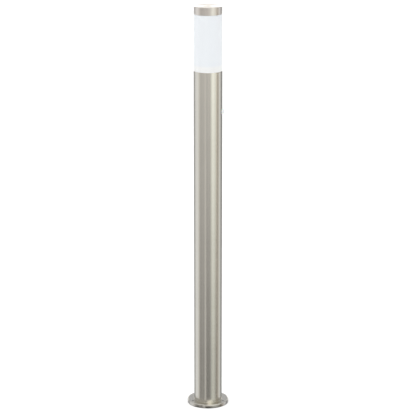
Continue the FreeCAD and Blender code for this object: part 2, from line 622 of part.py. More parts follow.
cap_plate = new_body("cap_plate")
spin(cap_plate, [("0", "Dims.cap_plate_low"), ("Dims.diffuser_id/2-0.05", "Dims.cap_plate_low"),
                 ("Dims.diffuser_id/2-0.05", "Dims.diffuser_top"),
                 ("Dims.diffuser_id/2-1.6", "Dims.diffuser_top"),
                 ("Dims.diffuser_id/2-1.6", "Dims.cap_plate_low+1.8"), ("0", "Dims.cap_plate_low+1.8")])
for side in ("-Dims.stud_spacing/2", "Dims.stud_spacing/2"):
    cut(cap_plate, circle(new_sketch(cap_plate, "XY_Plane", "Dims.cap_plate_low-1"), side, "0", "2.15"), "4", True)

cap_studs = new_body("cap_studs")
cap_washers = new_body("cap_washers")
cap_nuts = new_body("cap_nuts")
for side in ("-Dims.stud_spacing/2", "Dims.stud_spacing/2"):
    extrude(cap_studs, circle(new_sketch(cap_studs, "XY_Plane", "Dims.cap_plate_low-6"), side, "0", "2"),
            "Dims.overall_height-Dims.cap_roof-Dims.cap_plate_low+6")
    washer = new_sketch(cap_washers, "XY_Plane", "Dims.cap_plate_low-0.8")
    circle(washer, side, "0", "4.5")
    circle(washer, side, "0", "2.15")
    extrude(cap_washers, washer, "0.8")
    nut = hexagon(new_sketch(cap_nuts, "XY_Plane", "Dims.cap_plate_low-4"), side, "0", "7")
    circle(nut, side, "0", "2.05")
    extrude(cap_nuts, nut, "3.2")

# ---------------------------------------------------------------------------------------------------------
# Motion sensor: lens, seal, housing, spring, board and what the board carries
# ---------------------------------------------------------------------------------------------------------
# the dome is a cap of a sphere: from its foot at the tube's surface to its furthest point
DOME_FOOT = math.sqrt(size("tube_od") ** 2 / 4 - size("eye_od") ** 2 / 4) - 0.6
DOME_RISE = size("eye_reach") - DOME_FOOT
DOME_RADIUS = (size("eye_od") ** 2 / 4 + DOME_RISE ** 2) / (2 * DOME_RISE)
DOME_MIDDLE = size("eye_reach") - DOME_RADIUS
INNER_RADIUS = DOME_RADIUS - size("eye_wall")
INNER_HALF = size("eye_od") / 2 - size("eye_wall")
INNER_FOOT = DOME_MIDDLE + math.sqrt(INNER_RADIUS ** 2 - INNER_HALF ** 2)
for row, (name, value) in enumerate((("dome_foot", DOME_FOOT), ("dome_middle", DOME_MIDDLE),
                                     ("dome_inner_foot", INNER_FOOT)), start=len(SIZES) + 1):
    sheet.set("A%d" % row, name)
    sheet.set("B%d" % row, "%.12f" % value)
    sheet.setAlias("B%d" % row, name)
doc.recompute()

lens = new_body("sensor_lens")
spin_sideways(lens, [("Dims.box_front", "Dims.eye_od/2-Dims.eye_wall"), ("Dims.box_front", "Dims.eye_flange/2"),
                     ("Dims.box_front+1.5", "Dims.eye_flange/2"), ("Dims.box_front+1.5", "Dims.eye_od/2"),
                     ("Dims.dome_foot", "Dims.eye_od/2"), ("Dims.eye_reach", "0"),
                     ("Dims.eye_reach-Dims.eye_wall", "0"),
                     ("Dims.dome_inner_foot", "Dims.eye_od/2-Dims.eye_wall")],
              {4: ("Dims.dome_middle", "0", True), 6: ("Dims.dome_middle", "0", False)})

eye_seal = new_body("sensor_seal")
seal_blank = new_sketch(eye_seal, "YZ_Plane", "Dims.box_front+1.5")
circle(seal_blank, "0", "Dims.eye_level", "Dims.eye_flange/2")
circle(seal_blank, "0", "Dims.eye_level", "Dims.eye_od/2+0.05")
extrude(eye_seal, seal_blank, "6")
# the seal's outer face follows the inside of the tube
saddle = new_sketch(eye_seal, "XY_Plane", "Dims.eye_level-20")
circle(saddle, "0", "0", "Dims.tube_od/2+10")
circle(saddle, "0", "0", "Dims.tube_od/2-Dims.tube_wall")
cut(eye_seal, saddle, "40", True)

housing = new_body("sensor_housing")
extrude(housing, box_outline(new_sketch(housing, "YZ_Plane", "Dims.box_back"),
                             "-Dims.box_half", "Dims.box_half",
                             "Dims.eye_level-Dims.box_rise", "Dims.eye_level+Dims.box_rise"),
        "Dims.box_front-Dims.box_back")
cut(housing, box_outline(new_sketch(housing, "YZ_Plane", "Dims.box_back"),
                         "-Dims.box_half+Dims.box_wall", "Dims.box_half-Dims.box_wall",
                         "Dims.eye_level-Dims.box_rise+Dims.box_wall",
                         "Dims.eye_level+Dims.box_rise-Dims.box_wall"),
    "Dims.box_front-Dims.box_back-Dims.box_wall", True)
cut(housing, circle(new_sketch(housing, "YZ_Plane", "Dims.box_front-3"), "0", "Dims.eye_level", "9.8"), "5", True)
for side in ("-Dims.knob_pitch", "0", "Dims.knob_pitch"):
    cut(housing, circle(new_sketch(housing, "XY_Plane", "Dims.eye_level+Dims.box_rise-3"),
                        "Dims.knob_line", side, "1.9"), "5", True)
for side in ("-8.4", "-10.8", "-13.2"):
    cut(housing, circle(new_sketch(housing, "XY_Plane", "Dims.eye_level+Dims.box_rise-3"),
                        "Dims.box_back+2.6", side, "1.1"), "5", True)

lid = new_body("sensor_lid")
extrude(lid, box_outline(new_sketch(lid, "YZ_Plane", "Dims.box_back-1.6"),
                         "-Dims.box_half", "Dims.box_half",
                         "Dims.eye_level-Dims.box_rise", "Dims.eye_level+Dims.box_rise"), "1.6")
extrude(lid, box_outline(new_sketch(lid, "YZ_Plane", "Dims.box_back"),
                         "-Dims.box_half+Dims.box_wall+0.1", "Dims.box_half-Dims.box_wall-0.1",
                         "Dims.eye_level-Dims.box_rise+Dims.box_wall+0.1", "Dims.eye_level+6"), "1")

spring = new_body("sensor_spring")
extrude(spring, outline(new_sketch(spring, "XY_Plane", "Dims.eye_level-7"), [
    ("Dims.box_back-1.6", "-13"), ("Dims.box_back-1.6", "13"), ("-27.8", "24"), ("-31", "19.8"),
    ("-30.4", "19.4"), ("-27.5", "22.9"), ("Dims.box_back-2.4", "12.4"), ("Dims.box_back-2.4", "-12.4"),
    ("-27.5", "-22.9"), ("-30.4", "-19.4"), ("-31", "-19.8"), ("-27.8", "-24")]), "14")

board = new_body("sensor_board")
extrude(board, box_outline(new_sketch(board, "YZ_Plane", "Dims.board_back"), "-13.5", "13.5",
                           "Dims.eye_level-15", "Dims.eye_level+15"), "1.6")

pyro = new_body("motion_detector")
extrude(pyro, circle(new_sketch(pyro, "YZ_Plane", "Dims.board_back+1.6"), "0", "Dims.eye_level", "4.6"), "0.5")
extrude(pyro, circle(new_sketch(pyro, "YZ_Plane", "Dims.board_back+2.1"), "0", "Dims.eye_level", "4.1"), "3.6")

window = new_body("detector_window")
extrude(window, box_outline(new_sketch(window, "YZ_Plane", "Dims.board_back+5.7"), "-2", "2",
                            "Dims.eye_level-1.5", "Dims.eye_level+1.5"), "0.3")

light_cell = new_body("light_cell")
extrude(light_cell, circle(new_sketch(light_cell, "YZ_Plane", "Dims.board_back+1.6"),
                           "5.8", "Dims.eye_level-5.8", "2"), "2")

relay = new_body("relay")
extrude(relay, box_outline(new_sketch(relay, "YZ_Plane", "Dims.board_back"), "-11", "4",
                           "Dims.eye_level-14", "Dims.eye_level+4"), "10", backwards=True)

capacitor = new_body("smoothing_capacitor")
extrude(capacitor, circle(new_sketch(capacitor, "YZ_Plane", "Dims.board_back"), "9.2", "Dims.eye_level-7",
                          "3.8"), "10", backwards=True)

TRIMMERS = [("time", "-Dims.knob_pitch"), ("dusk", "0"), ("range", "Dims.knob_pitch")]
for name, side in TRIMMERS:
    trimmer = new_body(name + "_trimmer")
    extrude(trimmer, box_outline(new_sketch(trimmer, "XY_Plane", "Dims.eye_level+Dims.box_rise-8"),
                                 "Dims.knob_line-3.5", "Dims.board_back", side + "-3.5", side + "+3.5"), "6")
    cut(trimmer, circle(new_sketch(trimmer, "XY_Plane", "Dims.eye_level+Dims.box_rise-6"),
                        "Dims.knob_line", side, "1.55"), "6", True)
    knob = new_body(name + "_knob")
    extrude(knob, circle(new_sketch(knob, "XY_Plane", "Dims.eye_level+Dims.box_rise-5"),
                         "Dims.knob_line", side, "1.5"), "5.4")
    extrude(knob, circle(new_sketch(knob, "XY_Plane", "Dims.eye_level+Dims.box_rise+0.4"),
                         "Dims.knob_line", side, "Dims.knob_od/2"), "2.6")
    cut(knob, box_outline(new_sketch(knob, "XY_Plane", "Dims.eye_level+Dims.box_rise+1.8"),
                          "Dims.knob_line-4", "Dims.knob_line+1.8", side + "-0.45", side + "+0.45"), "2", True)

# ---------------------------------------------------------------------------------------------------------
# Leads: each bends in more than one plane, so its shape is swept in code from sizes on the sheet
# ---------------------------------------------------------------------------------------------------------
BEND = 3.0


def lead(label, corners):
    """A round insulated lead along straight runs joined by arcs."""
    spots = [FreeCAD.Vector(*corner) for corner in corners]
    edges = []
    start = spots[0]
    for before, corner, after in zip(spots, spots[1:], spots[2:]):
        arrive = (corner - before).normalize()
        leave = (after - corner).normalize()
        setback = BEND * math.tan(arrive.getAngle(leave) / 2)
        bend_start = corner - arrive * setback
        bend_end = corner + leave * setback
        inward = (leave - arrive).normalize()
        centre = corner + inward * (BEND / math.cos(arrive.getAngle(leave) / 2))
        middle = centre - inward * BEND
        edges.append(Part.LineSegment(start, bend_start).toShape())
        edges.append(Part.Arc(bend_start, middle, bend_end).toShape())
        start = bend_end
    edges.append(Part.LineSegment(start, spots[-1]).toShape())
    route = Part.Wire(edges)
    first_way = (spots[1] - spots[0]).normalize()
    section = Part.Wire([Part.Circle(spots[0], first_way, size("wire_od") / 2).toShape()])
    swept = route.makePipeShell([section], True, True)
    expected = route.Length * math.pi * size("wire_od") ** 2 / 4
    if abs(swept.Volume - expected) > 0.02 * expected:
        raise RuntimeError(label + ": the lead's volume is off its route")
    feature = doc.addObject("Part::Feature", label)
    feature.Label = label
    feature.Shape = swept
    feature.Placement = FreeCAD.Placement()
    PARTS.append(feature)
    return feature


POLES = [size("block_low") + size("pole_pitch") * (step + 0.5) for step in range(4)]
CLAMP_X = size("clamp_axis")
TWIN = 1.25
INTO_HOLDER = size("nipple_high") + 2.0
lead("neutral_lead", [(CLAMP_X, 5, POLES[1]), (CLAMP_X, 14, POLES[1]), (TWIN, 14, POLES[1]),
                      (TWIN, 0, POLES[1]), (TWIN, 0, INTO_HOLDER)])
lead("switched_lead", [(CLAMP_X, 5, POLES[3]), (CLAMP_X, 14, POLES[3]), (-TWIN, 14, POLES[3]),
                       (-TWIN, 0, POLES[3]), (-TWIN, 0, INTO_HOLDER)])
LUG_LEVEL = size("ledge_high") - 0.8 - size("wire_od") / 2
lead("earth_lead", [(CLAMP_X, -5, POLES[0]), (CLAMP_X, -19, POLES[0]), (CLAMP_X, -19, LUG_LEVEL - 8),
                    (-15.5, -24, LUG_LEVEL), (-10.6, -24, LUG_LEVEL)])
SENSOR_X = size("box_back") + 2.6
SENSOR_Z = size("eye_level") + size("box_rise") - 3
for name, pole, across in (("sensor_neutral_lead", POLES[1], -8.4), ("sensor_supply_lead", POLES[2], -10.8),
                           ("sensor_switched_lead", POLES[3], -13.2)):
    lead(name, [(CLAMP_X, -3, pole), (CLAMP_X, -12, pole), (0, -12, pole), (SENSOR_X, across, pole),
                (SENSOR_X, across, SENSOR_Z)])

# ---------------------------------------------------------------------------------------------------------
# Check every object and write one file for each part
# ---------------------------------------------------------------------------------------------------------
doc.recompute()
for item in doc.Objects:
    if "Invalid" in item.State or "Error" in item.State:
        raise RuntimeError(item.Label + " is " + ", ".join(item.State))
for item in PARTS:
    if item.Shape.isNull() or not item.Shape.isValid():
        raise RuntimeError(item.Label + " has no valid shape")
    item.Shape.exportStep("parts/%s.step" % item.Label)
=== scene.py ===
import math

import bpy
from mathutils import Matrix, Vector


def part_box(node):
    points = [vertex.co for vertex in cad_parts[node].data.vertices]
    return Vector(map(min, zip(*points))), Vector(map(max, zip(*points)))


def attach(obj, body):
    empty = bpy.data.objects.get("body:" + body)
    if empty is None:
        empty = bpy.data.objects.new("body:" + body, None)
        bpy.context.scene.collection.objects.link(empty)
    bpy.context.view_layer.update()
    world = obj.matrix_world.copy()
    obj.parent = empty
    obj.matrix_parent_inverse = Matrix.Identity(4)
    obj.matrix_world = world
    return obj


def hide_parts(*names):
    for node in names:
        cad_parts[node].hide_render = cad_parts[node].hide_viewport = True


bl_info = {
    "name": "Bollard Light",
    "version": (1, 0, 0),
    "blender": (4, 5, 0),
    "location": "3D View > Sidebar > Bollard",
    "description": "Builds the looks of a stainless garden bollard light around its packed frame",
    "category": "Add Mesh",
}

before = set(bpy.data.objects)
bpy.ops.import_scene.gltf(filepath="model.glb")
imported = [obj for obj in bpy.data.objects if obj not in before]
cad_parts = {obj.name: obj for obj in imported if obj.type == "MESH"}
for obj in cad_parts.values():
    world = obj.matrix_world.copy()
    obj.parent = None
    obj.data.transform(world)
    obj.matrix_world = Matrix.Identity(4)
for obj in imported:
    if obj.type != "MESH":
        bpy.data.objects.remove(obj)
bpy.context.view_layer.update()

MM = 0.001
LATHE_STEPS = 96
THREAD_STEPS = 56
WELD_STEPS = 180
EYE_LEVEL = sum(corner.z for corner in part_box("sensor_lens")) / 2
FLANGE_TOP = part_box("base_flange")[1].z
TUBE_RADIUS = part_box("pole_tube")[1].x


# ---------------------------------------------------------------------------------------------------------
# Sizes and colours that a user would change
# ---------------------------------------------------------------------------------------------------------
class BollardStage(bpy.types.PropertyGroup):
    camera_distance: bpy.props.FloatProperty(
        name="Camera distance", description="From the post's axis to the camera", default=4.5, unit="LENGTH")
    camera_height: bpy.props.FloatProperty(
        name="Camera height", description="Height of the camera over the ground", default=1.75, unit="LENGTH")
    aim_height: bpy.props.FloatProperty(
        name="Aim height", description="Height on the post the camera points at", default=0.554,
        unit="LENGTH")
    lens: bpy.props.FloatProperty(
        name="Lens", description="Focal length on a 36 mm wide sensor, in millimetres", default=149.7)
    floor_size: bpy.props.FloatProperty(
        name="Floor size", description="Edge of the square floor", default=120.0, unit="LENGTH")
    floor_colour: bpy.props.StringProperty(
        name="Floor colour", description="Paint of the floor as an sRGB hex value", default="f4f4f3")
    dome_level: bpy.props.FloatProperty(
        name="Dome level", description="Brightness of the studio's walls", default=1.0)
    top_power: bpy.props.FloatProperty(
        name="Overhead power", description="Power of the overhead soft box", default=30.0, unit="POWER")


class BollardColours(bpy.types.PropertyGroup):
    steel: bpy.props.StringProperty(
        name="Steel", description="Colour of the brushed stainless tube", default="d3cfc2")
    opal: bpy.props.StringProperty(
        name="Opal", description="Colour of the opal cylinder", default="e5e9ed")
    lens: bpy.props.StringProperty(
        name="Lens", description="Colour of the sensor's milky lens", default="e9eaec")


class BollardSizes(bpy.types.PropertyGroup):
    weld_reach: bpy.props.FloatProperty(
        name="Weld reach", description="How far the foot weld spreads from the tube", default=0.35 * MM,
        unit="LENGTH")
    thread_pitch: bpy.props.FloatProperty(
        name="Thread pitch", description="Rise of the Edison thread for each turn", default=3.629 * MM,
        unit="LENGTH")
    thread_depth: bpy.props.FloatProperty(
        name="Thread depth", description="Depth of the lamp cap's rolled thread", default=0.38 * MM,
        unit="LENGTH")


# ---------------------------------------------------------------------------------------------------------
# Materials
# ---------------------------------------------------------------------------------------------------------
def linear(hex_colour):
    """An sRGB hex value as a linear colour with full alpha."""
    channels = []
    for start in (0, 2, 4):
        value = int(hex_colour[start:start + 2], 16) / 255
        channels.append(value / 12.92 if value <= 0.04045 else ((value + 0.055) / 1.055) ** 2.4)
    return (*channels, 1.0)


def add_node(tree, kind, inputs=None, stops=None, **settings):
    """Add a node, set it and link it. stops fills a colour ramp with (place, grey or colour)."""
    node = tree.nodes.new(kind)
    for name, value in settings.items():
        setattr(node, name, value)
    for key, value in (inputs or {}).items():
        socket = node.inputs[key]
        if isinstance(key, str):
            # a node for several kinds of data has a socket of this name for each, and one is in use
            socket = next(each for each in node.inputs if each.name == key and each.enabled)
        if isinstance(value, bpy.types.NodeSocket):
            tree.links.new(value, socket)
        else:
            socket.default_value = value
    if stops:
        ramp = node.color_ramp
        while len(ramp.elements) < len(stops):
            ramp.elements.new(0.5)
        for element, (place, colour) in zip(ramp.elements, stops):
            element.position = place
            element.color = colour if isinstance(colour, tuple) else (colour, colour, colour, 1.0)
    return node


# where nearly all of a noise texture's values lie
NOISE_SPAN = {"From Min": 0.3, "From Max": 0.7}


def start_material(name):
    """An empty node material: its tree, its shader and the object coordinates."""
    material = bpy.data.materials.new(name)
    material.use_nodes = True
    tree = material.node_tree
    tree.nodes.clear()
    shader = add_node(tree, "ShaderNodeBsdfPrincipled")
    add_node(tree, "ShaderNodeOutputMaterial", {"Surface": shader.outputs["BSDF"]})
    place = add_node(tree, "ShaderNodeTexCoord").outputs["Object"]
    return material, tree, shader, place


def set_shader(tree, shader, values):
    """Set or link the shader's own sockets."""
    for key, value in values.items():
        if isinstance(value, bpy.types.NodeSocket):
            tree.links.new(value, shader.inputs[key])
        else:
            shader.inputs[key].default_value = value


def wavering(tree, place, hex_colour, spread, scale, detail=3.0):
    """A colour that wavers about its own value with noise, and the noise itself."""
    noise = add_node(tree, "ShaderNodeTexNoise", {"Vector": place, "Scale": scale, "Detail": detail})
    base = linear(hex_colour)
    low = tuple(max(0.0, channel * (1 - spread)) for channel in base[:3]) + (1.0,)
    high = tuple(min(1.0, channel * (1 + spread)) for channel in base[:3]) + (1.0,)
    ramp = add_node(tree, "ShaderNodeValToRGB", {"Fac": noise.outputs["Fac"]},
                    stops=[(NOISE_SPAN["From Min"], low), (NOISE_SPAN["From Max"], high)])
    return ramp.outputs["Color"], noise.outputs["Fac"]


def brushed_round(name, hex_colour, roughness, anisotropy, line_mm, turned=False):
    """Brushed stainless: belt-ground while it turned, so fine lines run round the post's axis."""
    # The lines stretch every reflection up and down the tube, which gives the eye tall soft bands of light.
    # The real lines are about 0.1 mm apart, too fine to show, so they are drawn line_mm apart, with painted
    # highlight streaks on them.
    material, tree, shader, place = start_material(name)
    parts = add_node(tree, "ShaderNodeSeparateXYZ", {"Vector": place})
    across, depth, height = parts.outputs
    around = add_node(tree, "ShaderNodeMath", {0: across, 1: depth}, operation="ARCTAN2")
    slow = add_node(tree, "ShaderNodeMath", {0: around.outputs[0], 1: 1.3}, operation="MULTIPLY")
    along = height
    if turned:
        squares = add_node(tree, "ShaderNodeMath", {0: across, 1: across}, operation="MULTIPLY")
        radius = add_node(tree, "ShaderNodeMath", {0: depth, 1: depth, 2: squares.outputs[0]},
                          operation="MULTIPLY_ADD")
        length = add_node(tree, "ShaderNodeMath", {0: radius.outputs[0]}, operation="SQRT")
        outward = add_node(tree, "ShaderNodeMath", {0: length.outputs[0], 1: height}, operation="ADD")
        along = outward.outputs[0]
    fine = add_node(tree, "ShaderNodeMath", {0: along, 1: 1 / (line_mm * MM)}, operation="MULTIPLY")
    streak_place = add_node(tree, "ShaderNodeCombineXYZ", {"X": slow.outputs[0], "Z": fine.outputs[0]})
    streaks = add_node(tree, "ShaderNodeTexNoise", {"Vector": streak_place.outputs[0], "Scale": 1.0,
                                                    "Detail": 4.0, "Roughness": 0.6})
    broad, _ = wavering(tree, place, hex_colour, 0.03, 9.0)
    # the streaks also lighten the base colour towards near white: painted highlight streaks along the brush
    # lines
    bright = add_node(tree, "ShaderNodeValToRGB", {"Fac": streaks.outputs["Fac"]},
                      stops=[(0.25, linear(hex_colour)), (0.75, linear("f9f9f8"))])
    tone = add_node(tree, "ShaderNodeMix", {"Factor": 0.16, "A": broad, "B": bright.outputs[0]},
                    data_type="RGBA")
    sheen = add_node(tree, "ShaderNodeMapRange", {"Value": streaks.outputs["Fac"], **NOISE_SPAN,
                                                  "To Min": roughness * 0.92, "To Max": roughness * 1.08})
    grain = add_node(tree, "ShaderNodeBump", {"Height": streaks.outputs["Fac"], "Strength": 0.06,
                                              "Distance": 0.05 * MM})
    tangent = add_node(tree, "ShaderNodeTangent", direction_type="RADIAL", axis="Z")
    set_shader(tree, shader, {
        "Base Color": tone.outputs["Result"], "Metallic": 1.0,
        "Roughness": sheen.outputs["Result"],
        "Anisotropic": anisotropy, "Anisotropic Rotation": 0.25, "Tangent": tangent.outputs[0],
        "Normal": grain.outputs[0]})
    return material


def plain_metal(name, hex_colour, roughness):
    """Plated or turned metal: an even sheen with small dull patches from handling."""
    material, tree, shader, place = start_material(name)
    grain_mm, patch_mm = 0.6, 7.2
    colour, noise = wavering(tree, place, hex_colour, 0.06, 1 / (patch_mm * MM))
    fine = add_node(tree, "ShaderNodeTexNoise", {"Vector": place, "Scale": 1 / (grain_mm * MM),
                                                 "Detail": 2.0})
    bump = add_node(tree, "ShaderNodeBump", {"Height": fine.outputs["Fac"], "Strength": 0.05,
                                             "Distance": 0.05 * MM})
    sheen = add_node(tree, "ShaderNodeMapRange", {"Value": noise, **NOISE_SPAN, "To Min": roughness * 0.8,
                                                  "To Max": roughness * 1.25})
    set_shader(tree, shader, {"Base Color": colour, "Metallic": 1.0, "Normal": bump.outputs[0],
                              "Roughness": sheen.outputs["Result"]})
    return material


def zinc_sheet(name, hex_colour):
    """Zinc plated sheet: a pale spangle of crystals, a few millimetres each, satin to the eye."""
    material, tree, shader, place = start_material(name)
    cells = add_node(tree, "ShaderNodeTexVoronoi", {"Vector": place, "Scale": 1 / (3.0 * MM)})
    base = linear(hex_colour)
    dark = tuple(channel * 0.82 for channel in base[:3]) + (1.0,)
    tone = add_node(tree, "ShaderNodeValToRGB", {"Fac": cells.outputs["Color"]},
                    stops=[(0.1, dark), (0.9, base)])
    sheen = add_node(tree, "ShaderNodeMapRange", {"Value": cells.outputs["Color"], "To Min": 0.34,
                                                  "To Max": 0.52})
    set_shader(tree, shader, {"Base Color": tone.outputs[0], "Metallic": 1.0,
                              "Roughness": sheen.outputs["Result"]})
    return material


def moulded(name, hex_colour, roughness, grain_mm, coat=0.0, subsurface=0.0, bump=0.08):
    """Moulded plastic: the fine even grain of the mould, with slightly uneven tone."""
    material, tree, shader, place = start_material(name)
    colour, noise = wavering(tree, place, hex_colour, 0.02, 22.0)
    grain = add_node(tree, "ShaderNodeTexNoise", {"Vector": place, "Scale": 1 / (grain_mm * MM),
                                                  "Detail": 2.0})
    relief = add_node(tree, "ShaderNodeBump", {"Height": grain.outputs["Fac"], "Strength": bump,
                                               "Distance": 0.1 * MM})
    sheen = add_node(tree, "ShaderNodeMapRange", {"Value": noise, **NOISE_SPAN, "To Min": roughness * 0.9,
                                                  "To Max": roughness * 1.1})
    set_shader(tree, shader, {"Base Color": colour, "Normal": relief.outputs[0], "IOR": 1.49,
                              "Roughness": sheen.outputs["Result"],
                              "Coat Weight": coat, "Coat Roughness": 0.05,
                              "Subsurface Weight": subsurface, "Subsurface Scale": 4 * MM})
    return material


def rubbery(name, hex_colour, roughness):
    """Moulded rubber: dull, with a bloom of paler dust in random patches."""
    material, tree, shader, place = start_material(name)
    colour, noise = wavering(tree, place, hex_colour, 0.22, 60.0, 5.0)
    grain = add_node(tree, "ShaderNodeTexNoise", {"Vector": place, "Scale": 1 / (0.7 * MM), "Detail": 3.0})
    relief = add_node(tree, "ShaderNodeBump", {"Height": grain.outputs["Fac"], "Strength": 0.2,
                                               "Distance": 0.1 * MM})
    sheen = add_node(tree, "ShaderNodeMapRange", {"Value": noise, **NOISE_SPAN, "To Min": roughness * 0.9,
                                                  "To Max": roughness * 1.1})
    set_shader(tree, shader, {"Base Color": colour, "Normal": relief.outputs[0], "IOR": 1.52,
                              "Roughness": sheen.outputs["Result"]})
    return material


def circuit(name, hex_colour):
    """Glass-fibre board under solder mask: green gloss with the tracks standing a little proud."""
    material, tree, shader, place = start_material(name)
    tracks = add_node(tree, "ShaderNodeTexBrick", {
        "Vector": place, "Scale": 1 / (16 * MM), "Mortar Size": 0.03, "Color1": linear(hex_colour),
        "Color2": linear("37784a"), "Mortar": linear("1f4a2b")})
    relief = add_node(tree, "ShaderNodeBump", {"Height": tracks.outputs["Fac"], "Strength": 0.3,
                                               "Distance": 0.1 * MM}, invert=True)
    set_shader(tree, shader, {"Base Color": tracks.outputs["Color"], "Normal": relief.outputs[0],
                              "Roughness": 0.3, "Coat Weight": 0.3})
    return material


def striped_lead(name, hex_colour, stripe=None):
    """Extruded PVC insulation: a soft gloss, and on the earth lead a second colour twisting along it."""
    material, tree, shader, place = start_material(name)
    colour, noise = wavering(tree, place, hex_colour, 0.05, 40.0)
    if stripe:
        waves = add_node(tree, "ShaderNodeTexWave",
                         {"Vector": place, "Scale": 1 / (14 * MM), "Distortion": 0.0},
                         bands_direction="DIAGONAL")
        mask = add_node(tree, "ShaderNodeValToRGB", {"Fac": waves.outputs["Fac"]},
                        stops=[(0.48, 0.0), (0.52, 1.0)])
        twist = add_node(tree, "ShaderNodeMix",
                         {"Factor": mask.outputs[0], "A": colour, "B": linear(stripe)}, data_type="RGBA")
        colour = twist.outputs["Result"]
    sheen = add_node(tree, "ShaderNodeMapRange", {"Value": noise, **NOISE_SPAN, "To Min": 0.32,
                                                  "To Max": 0.42})
    set_shader(tree, shader, {"Base Color": colour, "IOR": 1.53, "Roughness": sheen.outputs["Result"]})
    return material


def opal(name, hex_colour, roughness, painted_end_light_hex=None, low=0.0, high=1.0):
    """Opal acrylic or glass: light sinks in and comes back milky and even, under a satin skin."""
    # The cast sheet's faint orange peel is a few millimetres across and shows only in the sheen. A cylinder's
    # low and high ends are painted a little whiter and warmer than its middle: painted light from the white
    # fittings they sit against.
    material, tree, shader, place = start_material(name)
    peel = add_node(tree, "ShaderNodeTexNoise", {"Vector": place, "Scale": 1 / (6 * MM), "Detail": 1.0})
    tone = add_node(tree, "ShaderNodeMapRange", {"Value": peel.outputs["Fac"], **NOISE_SPAN,
                                                 "To Min": 0.996, "To Max": 1.004})
    middle, end = linear(hex_colour), linear(painted_end_light_hex or hex_colour)
    height = add_node(tree, "ShaderNodeSeparateXYZ", {"Vector": place}).outputs["Z"]
    rise = add_node(tree, "ShaderNodeMapRange", {"Value": height, "From Min": low, "From Max": high})
    # the ends blend to the whiter, warmer colour: painted light from the white fittings
    along = add_node(tree, "ShaderNodeValToRGB", {"Fac": rise.outputs[0]},
                     stops=[(0.06, end), (0.10, middle), (0.95, middle), (0.98, end)])
    colour = add_node(tree, "ShaderNodeMix", {"Factor": 1.0, "A": along.outputs["Color"],
                                              "B": tone.outputs["Result"]},
                      data_type="RGBA", blend_type="MULTIPLY")
    sheen = add_node(tree, "ShaderNodeMapRange", {"Value": peel.outputs["Fac"], **NOISE_SPAN,
                                                  "To Min": roughness * 0.9, "To Max": roughness * 1.1})
    relief = add_node(tree, "ShaderNodeBump", {"Height": peel.outputs["Fac"], "Strength": 0.02,
                                               "Distance": 0.05 * MM})
    set_shader(tree, shader, {"Base Color": colour.outputs["Result"], "Roughness": sheen.outputs["Result"],
                              "Normal": relief.outputs[0], "IOR": 1.49, "Specular IOR Level": 0.2,
                              "Subsurface Weight": 0.35, "Subsurface Radius": (1.0, 1.0, 1.0),
                              "Subsurface Scale": 5 * MM})
    return material


def faceted_lens(name, hex_colour, level):
    """Milky moulded polyethylene: a waxy sheen, with the detector's Fresnel facets pressed in rings."""
    material, tree, shader, place = start_material(name)
    parts = add_node(tree, "ShaderNodeSeparateXYZ", {"Vector": place})
    up = add_node(tree, "ShaderNodeMath", {0: parts.outputs["Z"], 1: level}, operation="SUBTRACT").outputs[0]
    across = parts.outputs["Y"]
    squares = add_node(tree, "ShaderNodeMath", {0: across, 1: across}, operation="MULTIPLY").outputs[0]
    spread = add_node(tree, "ShaderNodeMath", {0: up, 1: up, 2: squares}, operation="MULTIPLY_ADD")
    radius = add_node(tree, "ShaderNodeMath", {0: spread.outputs[0]}, operation="SQRT")
    angle = add_node(tree, "ShaderNodeMath", {0: up, 1: across}, operation="ARCTAN2")
    # grooves run round every 6.4 mm and outward every 45 degrees
    rings = add_node(tree, "ShaderNodeMath", {0: radius.outputs[0], 1: 3.2 * MM}, operation="PINGPONG")
    ring = add_node(tree, "ShaderNodeMapRange", {"Value": rings.outputs[0], "From Max": 0.4 * MM})
    spokes = add_node(tree, "ShaderNodeMath", {0: angle.outputs[0], 1: math.pi / 8}, operation="PINGPONG")
    spoke = add_node(tree, "ShaderNodeMapRange", {"Value": spokes.outputs[0], "From Max": 0.06})
    facet = add_node(tree, "ShaderNodeMath", {0: ring.outputs["Result"], 1: spoke.outputs["Result"]},
                     operation="MINIMUM").outputs[0]
    relief = add_node(tree, "ShaderNodeBump", {"Height": facet, "Strength": 0.35, "Distance": 0.2 * MM})
    # the groove lines are painted darker with dcdee0: painted shade in the pressed grooves
    tone = add_node(tree, "ShaderNodeMix", {"Factor": facet, "A": linear("dcdee0"), "B": linear(hex_colour)},
                    data_type="RGBA")
    sheen = add_node(tree, "ShaderNodeMapRange", {"Value": facet, "To Min": 0.5, "To Max": 0.38})
    set_shader(tree, shader, {"Base Color": tone.outputs["Result"], "Normal": relief.outputs[0], "IOR": 1.51,
                              "Roughness": sheen.outputs["Result"],
                              "Subsurface Weight": 0.25, "Subsurface Scale": 3 * MM})
    return material


MATERIALS = {}


def finish_node(node, material_name):
    """Give a CAD node its finished material in every slot it has."""
    if material_name not in MATERIALS:
        raise RuntimeError("Finishes has to run before " + node + " can be finished")
    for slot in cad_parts[node].material_slots:
        slot.material = MATERIALS[material_name]


# ---------------------------------------------------------------------------------------------------------
# Modelling helpers
# ---------------------------------------------------------------------------------------------------------
def select_none():
    """Leave edit mode and deselect everything."""
    if bpy.context.object and bpy.context.object.mode != "OBJECT":
        bpy.ops.object.mode_set(mode="OBJECT")
    bpy.ops.object.select_all(action="DESELECT")


